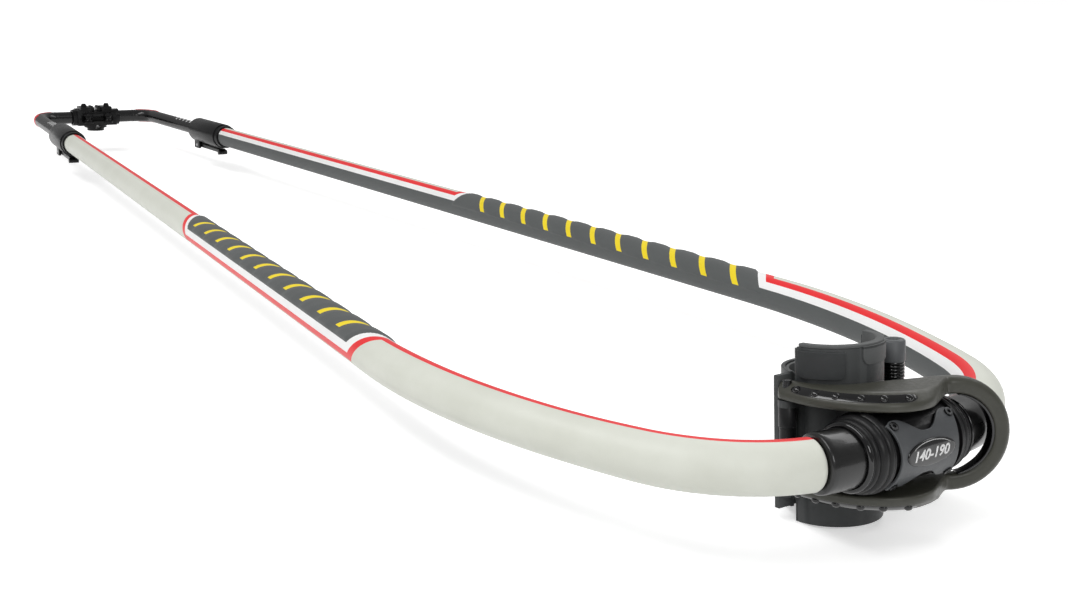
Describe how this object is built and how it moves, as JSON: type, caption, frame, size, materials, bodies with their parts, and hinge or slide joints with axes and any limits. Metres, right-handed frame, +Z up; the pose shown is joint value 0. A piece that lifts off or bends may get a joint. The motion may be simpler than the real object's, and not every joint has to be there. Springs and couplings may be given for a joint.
{
  "type": "windsurfing wishbone boom",
  "caption": "Windsurfing wishbone boom with foam-gripped arms, a clamp-on mast head and a telescoping tail end.",
  "frame": {"origin": "centre of the mast clamp, on the mast axis at mid height of the front head", "axes": "+X forward, out of the front of the boom; +Y to port; +Z up, square to the plane of the arms"},
  "size_m": [1.6497, 0.3792, 0.1061],
  "materials": {
    "neck_gloss": "glossy",
    "carbon_tube": "satin",
    "foam_grip": "matte",
    "palm_pad": "matte",
    "black_moulding": "matte",
    "slate_moulding": "satin",
    "lever_grey": "satin",
    "gloss_black": "glossy",
    "liner_rubber": "matte",
    "seal_rubber": "matte",
    "steel": "satin",
    "bush_nylon": "satin",
    "red_bumper": "satin"
  },
  "bodies": {
    "root": {"front_tube": "neck_gloss", "port_arm_tube": "carbon_tube", "starboard_arm_tube": "carbon_tube", "port_grip": "foam_grip", "starboard_grip": "foam_grip", "port_palm_pad": "palm_pad", "starboard_palm_pad": "palm_pad", "port_clamp": "black_moulding", "starboard_clamp": "black_moulding", "port_end_bush": "bush_nylon", "starboard_end_bush": "bush_nylon", "port_clamp_pin": "steel", "starboard_clamp_pin": "steel"},
    "head": {"mast_cup": "slate_moulding", "cup_liner": "liner_rubber", "head_rear_shell": "black_moulding", "head_front_shell": "black_moulding", "front_cover": "slate_moulding", "badge": "gloss_black", "cover_screws": "steel", "port_collar": "black_moulding", "starboard_collar": "black_moulding", "port_seal_ring": "seal_rubber", "starboard_seal_ring": "seal_rubber", "hinge_pin": "steel", "hinge_bush": "black_moulding", "lever_pin": "steel"},
    "adjuster_screw": {"adjuster": "slate_moulding"},
    "jaw": {"rear_jaw": "slate_moulding", "jaw_liner": "liner_rubber"},
    "lever": {"upper_lever_arm": "lever_grey", "lower_lever_arm": "lever_grey", "lever_loop": "lever_grey", "lever_lining": "gloss_black", "upper_studs": "gloss_black", "lower_studs": "gloss_black"},
    "tail_end": {"fitting_top": "black_moulding", "fitting_bottom": "black_moulding", "fitting_screws": "steel", "rope_cleats": "black_moulding", "roller_pins": "steel"},
    "port_leg": {"port_tail_tube": "carbon_tube", "port_tail_bumper": "red_bumper", "port_leg_plug": "bush_nylon"},
    "starboard_leg": {"starboard_tail_tube": "carbon_tube", "starboard_tail_bumper": "red_bumper", "starboard_leg_plug": "bush_nylon"},
    "port_rope_roller": {"port_roller": "black_moulding"},
    "starboard_rope_roller": {"starboard_roller": "black_moulding"},
    "port_flip_lever": {"port_clamp_lever": "black_moulding"},
    "starboard_flip_lever": {"starboard_clamp_lever": "black_moulding"}
  },
  "joints": [
    {"name": "head_tilt", "type": "hinge", "parent": "root", "child": "head", "pos_m": [0.04462, 0, 0.0058], "axis": [0, 1, 0], "range_deg": [-15, 15]},
    {"name": "lever_open", "type": "hinge", "parent": "head", "child": "lever", "pos_m": [0, -0.0363, 0], "axis": [0.1288, 0, -0.9917], "range_deg": [0, 110]},
    {"name": "jaw_open", "type": "hinge", "parent": "head", "child": "jaw", "pos_m": [0.00992, 0.04, 0.00129], "axis": [0.1288, 0, -0.9917], "range_deg": [0, 60]},
    {"name": "adjuster_turn", "type": "hinge", "parent": "head", "child": "adjuster_screw", "pos_m": [0.00992, 0.04, 0.00129], "axis": [-0.1288, 0, 0.9917], "continuous": true},
    {"name": "tail_slide", "type": "slide", "parent": "root", "child": "tail_end", "axis": [-1, 0, 0], "range_m": [-0.148, 0.352]},
    {"name": "port_leg_converge", "type": "slide", "parent": "tail_end", "child": "port_leg", "axis": [0, -1, 0], "range_m": [-0.00983, 0.0234]},
    {"name": "starboard_leg_converge", "type": "slide", "parent": "tail_end", "child": "starboard_leg", "axis": [0, 1, 0], "range_m": [-0.00983, 0.0234]},
    {"name": "port_roller_turn", "type": "hinge", "parent": "tail_end", "child": "port_rope_roller", "pos_m": [-1.538, 0.015, 0.0058], "axis": [0, 0, 1], "continuous": true},
    {"name": "starboard_roller_turn", "type": "hinge", "parent": "tail_end", "child": "starboard_rope_roller", "pos_m": [-1.538, -0.015, 0.0058], "axis": [0, 0, 1], "continuous": true},
    {"name": "port_flip", "type": "hinge", "parent": "root", "child": "port_flip_lever", "pos_m": [-1.34418, 0.10092, -0.0161], "axis": [-0.0663, 0.9978, 0], "range_deg": [0, 100]},
    {"name": "starboard_flip", "type": "hinge", "parent": "root", "child": "starboard_flip_lever", "pos_m": [-1.34418, -0.10092, -0.0161], "axis": [0.0663, 0.9978, 0], "range_deg": [0, 100]}
  ],
  "couplings": [
    {"joint": "jaw_open", "follows": "lever_open", "ratio": 0.54546},
    {"joint": "port_leg_converge", "follows": "tail_slide", "ratio": 0.0664},
    {"joint": "starboard_leg_converge", "follows": "tail_slide", "ratio": 0.0664}
  ]
}
